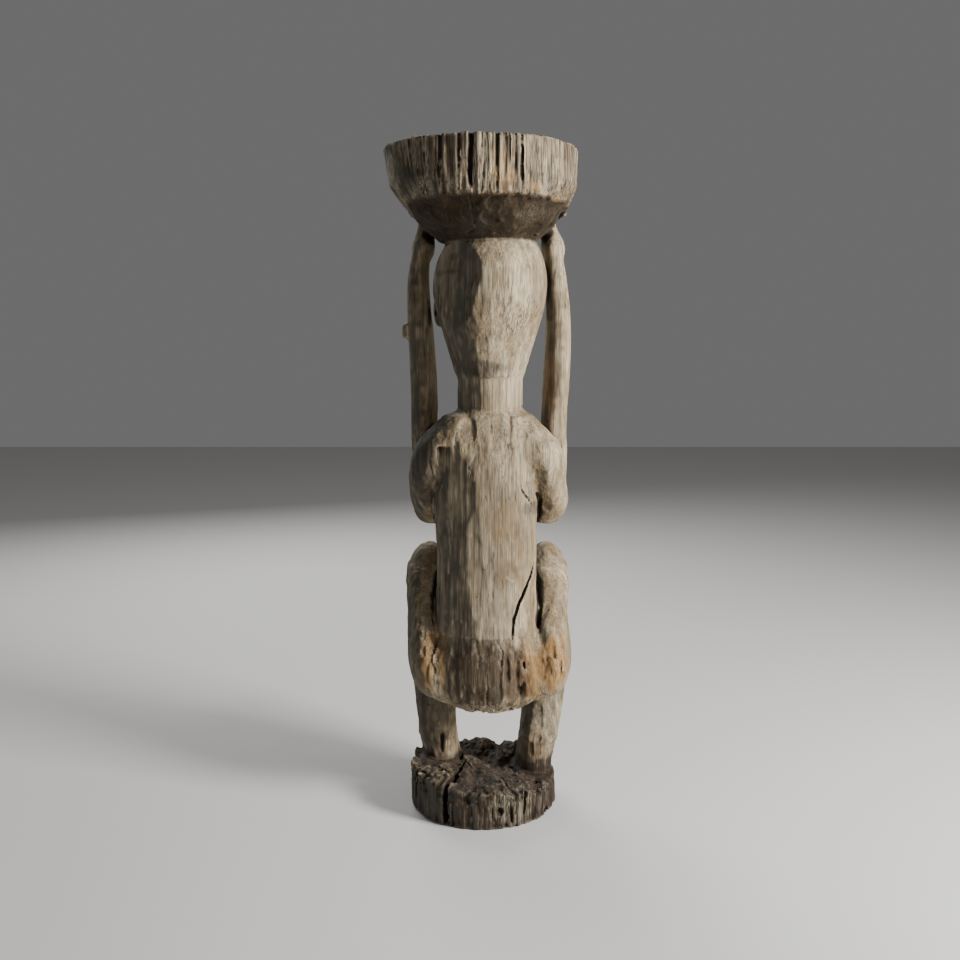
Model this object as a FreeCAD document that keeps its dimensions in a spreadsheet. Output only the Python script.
import FreeCAD, Part
import os
import Sketcher

# A squatting ancestor figure that holds a bowl on its head with both raised hands.
# It is hewn from one log, so every piece here is a carved member of that log, and
# neighbours meet face to face on the carver's own boundaries.
# Frame: millimetres, +Z up, the figure looks along -Y, its left side is +X,
# and the origin is on the floor under the middle of the log.

doc = FreeCAD.newDocument("ancestor_figure")
sheet = doc.addObject("Spreadsheet::Sheet", "sizes")

# ---------------------------------------------------------------- driving sizes

SIZES = {
    "total_height": 1000,    # floor to the top of the bowl's rim
    "log_radius": 143,       # the whole log, which survives at the rim
    "body_axis": -12,        # the figure leans this far off the log's centre
    "base_radius": 114,
    "base_lean": -5,
    "base_back": 2,
    "base_high": 72,         # top of the base, left edge
    "base_middle": 57,
    "base_low": 46,          # top of the base, right edge
    "left_step": -14,        # the left leg stands further forward
    "right_step": 8,
    "left_reach": -2,        # the right arm and leg stand further out
    "right_reach": 4,
    "neck_low": 618,
    "neck_high": 668,
    "neck_lean": -15,
    "neck_width": 49,
    "neck_depth": 44,
    "neck_back": 12,
    "bowl_floor_level": 934,
    "bowl_floor_radius": 94,
    "bowl_mouth_radius": 124,
    "knob_level": 725,
    "knob_height": 23,
    "knob_width": 26,
    "knob_depth": 26,
    "knob_out": 106,
    "knob_chamfer": 3,
    "ear_level": 768,
    "ear_out": 73,
    "ear_back": -20,
    "ear_height": 26,
    "ear_depth": 15,
    "ear_width": 10,
}

# Oval cross-sections of each member, from the lowest to the highest:
#   level name: (height, out from the body axis, back of the axis, half width, half depth)
# Members in the middle of the body use the second value as their lean to the left.
TORSO = {
    "waist": (285, 1, 22, 79, 70),
    "loin": (345, 2, 20, 77, 68),
    "ribs": (430, 2, 20, 77, 67),
    "chest": (505, 3, 19, 80, 68),
    "armpit": (560, 2, 17, 80, 64),
    "collar": (598, 0, 15, 68, 54),
    "nape": (618, -3, 12, 52, 45),
}
BUTTOCKS = {
    "seat": (164, -1, 38, 38, 28),
    "curve": (171, -1, 36, 62, 47),
    "swell": (193, 0, 32, 84, 63),
    "hip": (238, 0, 26, 90, 74),
    "waist": (285, 1, 22, 79, 70),
}
HEAD = {
    "throat": (668, -3, 8, 50, 53),
    "jaw": (690, -3, -1, 58, 66),
    "mouth": (720, -3, -2, 67, 76),
    "cheek": (760, -3, 1, 79, 84),
    "temple": (800, -3, 3, 85, 88),
    "brow": (836, -4, 4, 80, 84),
    "crown": (866, -5, 4, 66, 70),
}
NOSE = {
    "nostrils": (735, -3, -76, 13, 15),
    "tip": (743, -3, -78, 12, 18),
    "bridge": (776, -3, -75, 8, 15),
    "root": (802, -3, -73, 9, 14),
}
BOWL = {
    "foot": (866, 1, 0, 70, 76),
    "belly": (891, 1, 0, 102, 110),
    "crease": (917, 3, 0, 122, 140),
    "wall": (945, 7, 0, 138, 143),
    "rim": (1000, 12, 0, 143, 143),
}
UPPER_ARM = {
    "elbow": (441, 87, -26, 12, 18),
    "elbow_curve": (450, 88, -25, 23, 33),
    "forearm_root": (474, 91, -19, 29, 45),
    "biceps": (505, 89, -4, 32, 52),
    "deltoid": (542, 82, 12, 34, 53),
    "shoulder": (574, 66, 18, 33, 48),
    "shoulder_top": (602, 44, 18, 22, 33),
}
FOREARM = {
    "elbow": (456, 93, -38, 20, 26),
    "muscle": (520, 98, -44, 22, 27),
    "middle": (631, 101, -46, 21, 26),
    "taper": (724, 105, -46, 20, 24),
    "wrist_low": (790, 107, -46, 18, 22),
    "wrist": (868, 98, -48, 14, 20),
}
HAND = {
    "wrist": (868, 98, -48, 14, 20),
    "palm": (884, 98, -57, 15, 25),
    "knuckles": (902, 103, -69, 14, 28),
    "fingertips": (920, 109, -79, 10, 24),
}
THIGH = {
    "under": (188, 70, 34, 26, 30),
    "under_curve": (201, 77, 30, 35, 46),
    "ham": (240, 89, 18, 34, 60),
    "middle": (300, 96, -17, 31, 60),
    "above_middle": (348, 97, -45, 30, 51),
    "knee": (382, 95, -62, 26, 37),
    "knee_curve": (396, 94, -68, 15, 24),
    "knee_top": (400, 94, -70, 8, 12),
}
SHIN = {
    "ankle": (104, 80, -10, 30, 31),
    "calf_low": (150, 84, -22, 33, 34),
    "calf": (220, 93, -46, 31, 36),
    "shank": (300, 97, -70, 29, 35),
    "knee": (360, 95, -78, 25, 28),
}
FOOT = {
    "sole": (38, 72, -27, 29, 45),
    "instep": (78, 76, -22, 30, 41),
    "ankle": (104, 80, -10, 30, 31),
}

MEASURES = ("height", "out", "back", "width", "depth")


def fill_sheet():
    """Write every driving size into the sheet, one named cell each."""
    cells = dict(SIZES)
    members = {
        "torso": TORSO, "buttocks": BUTTOCKS, "head": HEAD, "nose": NOSE, "bowl": BOWL, "upper_arm": UPPER_ARM,
        "forearm": FOREARM, "hand": HAND, "thigh": THIGH, "shin": SHIN, "foot": FOOT,
    }
    for member, levels in members.items():
        for level, values in levels.items():
            for measure, value in zip(MEASURES, values):
                cells[f"{member}_{level}_{measure}"] = value
    for row, (alias, value) in enumerate(cells.items(), start=1):
        sheet.set(f"A{row}", alias)
        sheet.set(f"B{row}", str(value))
        sheet.setAlias(f"B{row}", alias)
    doc.recompute()


fill_sheet()

# ---------------------------------------------------------------- building blocks

QUARTER_TURN = FreeCAD.Rotation(FreeCAD.Vector(0, 0, 1), 90)


def bind(item, **expressions):
    """Bind an object's properties to sheet cells; two underscores stand for a dot."""
    for name, expression in expressions.items():
        item.setExpression(name.replace("__", "."), expression)


def oval(name, member, level, side, deep, shift):
    """One horizontal cross-section. A deep oval has its long radius along Y."""
    cell = f"sizes.{member}_{level}_"
    long_way, short_way = ("depth", "width") if deep else ("width", "depth")
    section = doc.addObject("Part::Ellipse", name)
    if deep:
        section.Placement.Rotation = QUARTER_TURN
    bind(
        section,
        MajorRadius=cell + long_way,
        MinorRadius=cell + short_way,
        Placement__Base__x=f"sizes.body_axis + {side} * ({cell}out + {shift[0]})",
        Placement__Base__y=f"{cell}back + {shift[1]}",
        Placement__Base__z=cell + "height",
    )
    return section


def member_loft(label, member, levels, side=1, deep=True, shifts=None):
    """A solid through a member's cross-sections. A level in shifts moves out and back."""
    sections = []
    for level in levels:
        shift = (shifts or {}).get(level, ("0", "0"))
        sections.append(oval(f"{label}_{level}", member, level, side, deep, shift))
    solid = doc.addObject("Part::Loft", label + "_loft")
    solid.Sections = sections
    solid.Solid = True
    return solid


def cut_back(label, solid, neighbours):
    """The member without what its neighbours already hold."""
    for index, neighbour in enumerate(neighbours):
        cut = doc.addObject("Part::Cut", f"{label}_cut_{index}")
        cut.Base, cut.Tool = solid, neighbour
        solid = cut
    return name_node(solid, label)


def name_node(solid, label):
    solid.Label = label
    NODES.append(solid)
    return solid


def origin_plane(body, role):
    return next(item for item in body.Origin.OriginFeatures if item.Role == role)


def new_sketch(body, name, role):
    sketch = body.newObject("Sketcher::SketchObject", name)
    sketch.AttachmentSupport = (origin_plane(body, role), [""])
    sketch.MapMode = "FlatFace"
    return sketch


def outline(sketch, corners):
    """A closed outline of straight edges whose corners are bound to sheet cells."""
    count = len(corners)
    start = [FreeCAD.Vector(corner[0], corner[1], 0) for corner in corners]
    for index in range(count):
        sketch.addGeometry(Part.LineSegment(start[index], start[(index + 1) % count]), False)
    for index in range(count):
        sketch.addConstraint(
            Sketcher.Constraint("Coincident", index, 2, (index + 1) % count, 1)
        )
    for index, (across, along, across_cell, along_cell) in enumerate(corners):
        places = (("DistanceX", across, across_cell), ("DistanceY", along, along_cell))
        for kind, value, cell in places:
            number = sketch.addConstraint(Sketcher.Constraint(kind, -1, 1, index, 1, value))
            sketch.setExpression(f"Constraints[{number}]", cell)


def evaluate(expression):
    return float(sheet.evalExpression(expression.replace("sizes.", "")))


def corner(across, along):
    """A corner given by two sheet expressions, which also give its starting place."""
    return evaluate(across), evaluate(along), across, along


NODES = []

# ---------------------------------------------------------------- base


def make_base():
    """The foot of the log: a thick disc whose eroded top falls from left to right."""
    body = doc.addObject("PartDesign::Body", "base_body")
    disc = new_sketch(body, "base_disc", "XY_Plane")
    lean, back, radius = sheet.base_lean, sheet.base_back, sheet.base_radius
    centre = FreeCAD.Vector(lean, back, 0)
    disc.addGeometry(Part.Circle(centre, FreeCAD.Vector(0, 0, 1), radius), False)
    for constraint, cell in (
        (Sketcher.Constraint("Radius", 0, radius), "sizes.base_radius"),
        (Sketcher.Constraint("DistanceX", -1, 1, 0, 3, lean), "sizes.base_lean"),
        (Sketcher.Constraint("DistanceY", -1, 1, 0, 3, back), "sizes.base_back"),
    ):
        number = disc.addConstraint(constraint)
        disc.setExpression(f"Constraints[{number}]", cell)
    pad = body.newObject("PartDesign::Pad", "base_pad")
    pad.Profile = disc
    bind(pad, Length="sizes.base_high + 10")
    doc.recompute()

    slope = new_sketch(body, "base_slope", "XZ_Plane")
    left, right = "sizes.log_radius", "-sizes.log_radius"
    outline(slope, [
        corner(right, "sizes.base_low"),
        corner("sizes.body_axis", "sizes.base_middle"),
        corner(left, "sizes.base_high"),
        corner(left, "sizes.base_high * 2"),
        corner(right, "sizes.base_high * 2"),
    ])
    worn = body.newObject("PartDesign::Pocket", "base_wear")
    worn.Profile = slope
    worn.Type = "ThroughAll"
    worn.Midplane = True
    doc.recompute()
    if worn.Shape.Volume > 0.95 * pad.Shape.Volume:
        raise RuntimeError("the base's worn top removed nothing")
    return name_node(body, "base")


base = make_base()

# ---------------------------------------------------------------- trunk and head

torso = name_node(member_loft("torso", "torso", TORSO, deep=False), "torso")
buttocks = name_node(member_loft("buttocks", "buttocks", BUTTOCKS, deep=False), "buttocks")


def make_neck():
    """A short upright column between the shoulders and the head."""
    column = doc.addObject("Part::Loft", "neck_loft")
    ends = []
    for end in ("neck_low", "neck_high"):
        ring = doc.addObject("Part::Ellipse", end + "_ring")
        bind(
            ring,
            MajorRadius="sizes.neck_width",
            MinorRadius="sizes.neck_depth",
            Placement__Base__x="sizes.neck_lean",
            Placement__Base__y="sizes.neck_back",
            Placement__Base__z="sizes." + end,
        )
        ends.append(ring)
    column.Sections = ends
    column.Solid = True
    return name_node(column, "neck")


neck = make_neck()


def make_ear(side_name, side):
    """A low oval ear on the side of the head."""
    ear = doc.addObject("Part::Ellipsoid", f"{side_name}_ear")
    ear.Angle1, ear.Angle2, ear.Angle3 = -90, 90, 360
    bind(
        ear,
        Radius1="sizes.ear_height",
        Radius2="sizes.ear_width",
        Radius3="sizes.ear_depth",
        Placement__Base__x=f"sizes.body_axis + {side} * sizes.ear_out",
        Placement__Base__y="sizes.ear_back",
        Placement__Base__z="sizes.ear_level",
    )
    return ear


def make_head():
    """A head like an upturned pear, with a plain straight nose and two low ears."""
    features = [member_loft("nose", "nose", NOSE), make_ear("left", 1), make_ear("right", -1)]
    carved = doc.addObject("Part::MultiFuse", "head_carved")
    carved.Shapes = [member_loft("head", "head", HEAD)] + features
    return name_node(carved, "head")


head = make_head()

# ---------------------------------------------------------------- bowl


def make_bowl():
    """A round bowl: sloping underside, crease, upright rim wall and a hewn hollow."""
    block = member_loft("bowl", "bowl", BOWL)
    block.Ruled = True
    hollow = doc.addObject("Part::Cone", "bowl_hollow")
    bind(
        hollow,
        Radius1="sizes.bowl_floor_radius",
        Radius2="sizes.bowl_mouth_radius",
        Height="sizes.total_height - sizes.bowl_floor_level",
        Placement__Base__z="sizes.bowl_floor_level",
    )
    return cut_back("bowl", block, [hollow])


bowl = make_bowl()

# ---------------------------------------------------------------- limbs


def make_knob(forearm):
    """A small squared knob that stands out of the left forearm, with eased edges."""
    block = doc.addObject("Part::Box", "knob_block")
    bind(
        block,
        Length="sizes.knob_width",
        Width="sizes.knob_depth",
        Height="sizes.knob_height",
        Placement__Base__x="sizes.body_axis + sizes.knob_out",
        Placement__Base__y="sizes.forearm_taper_back - sizes.knob_depth / 2",
        Placement__Base__z="sizes.knob_level",
    )
    doc.recompute()
    eased = doc.addObject("Part::Chamfer", "knob_eased")
    eased.Base = block
    ease = float(sheet.knob_chamfer)
    eased.Edges = [(number, ease, ease) for number in range(1, 13)]
    return cut_back("left_forearm_knob", eased, [forearm])


for side_name, side in (("left", 1), ("right", -1)):
    reach = (f"sizes.{side_name}_reach", "0")
    step = ("0", f"sizes.{side_name}_step")
    upper_arm_loft = member_loft(
        f"{side_name}_upper_arm", "upper_arm", UPPER_ARM, side,
        shifts=dict.fromkeys(("elbow", "elbow_curve", "forearm_root"), reach),
    )
    forearm_loft = member_loft(
        f"{side_name}_forearm", "forearm", FOREARM, side,
        shifts=dict.fromkeys(("elbow", "muscle", "middle", "taper"), reach),
    )
    hand_loft = member_loft(f"{side_name}_hand", "hand", HAND, side)
    cut_back(f"{side_name}_upper_arm", upper_arm_loft, [torso])
    cut_back(f"{side_name}_forearm", forearm_loft, [upper_arm_loft])
    cut_back(f"{side_name}_hand", hand_loft, [bowl])
    if side_name == "left":
        make_knob(forearm_loft)

    thigh_loft = member_loft(
        f"{side_name}_thigh", "thigh", THIGH, side,
        shifts=dict.fromkeys(("under", "under_curve", "ham"), reach),
    )
    shin_loft = member_loft(
        f"{side_name}_shin", "shin", SHIN, side,
        shifts={"ankle": step, "calf_low": reach, "calf": reach},
    )
    foot_loft = member_loft(
        f"{side_name}_foot", "foot", FOOT, side, shifts=dict.fromkeys(FOOT, step)
    )
    cut_back(f"{side_name}_thigh", thigh_loft, [buttocks, torso])
    cut_back(f"{side_name}_shin", shin_loft, [thigh_loft, buttocks])
    cut_back(f"{side_name}_foot", foot_loft, [base])

# ---------------------------------------------------------------- check and write

doc.recompute()
for item in doc.Objects:
    if "Invalid" in item.State or "Error" in item.State:
        raise RuntimeError(f"{item.Label} failed: {item.State}")
os.makedirs("parts", exist_ok=True)
for node in NODES:
    shape = node.Shape
    if shape.isNull() or not shape.isValid() or len(shape.Solids) != 1:
        raise RuntimeError(f"{node.Label} is not one valid solid: {len(shape.Solids)}")
    shape.exportStep(f"parts/{node.Label}.step")
    box = shape.BoundBox
    print(f"{node.Label:18s} {shape.Volume / 1000:8.1f} cm3  z {box.ZMin:6.1f} to {box.ZMax:6.1f}")
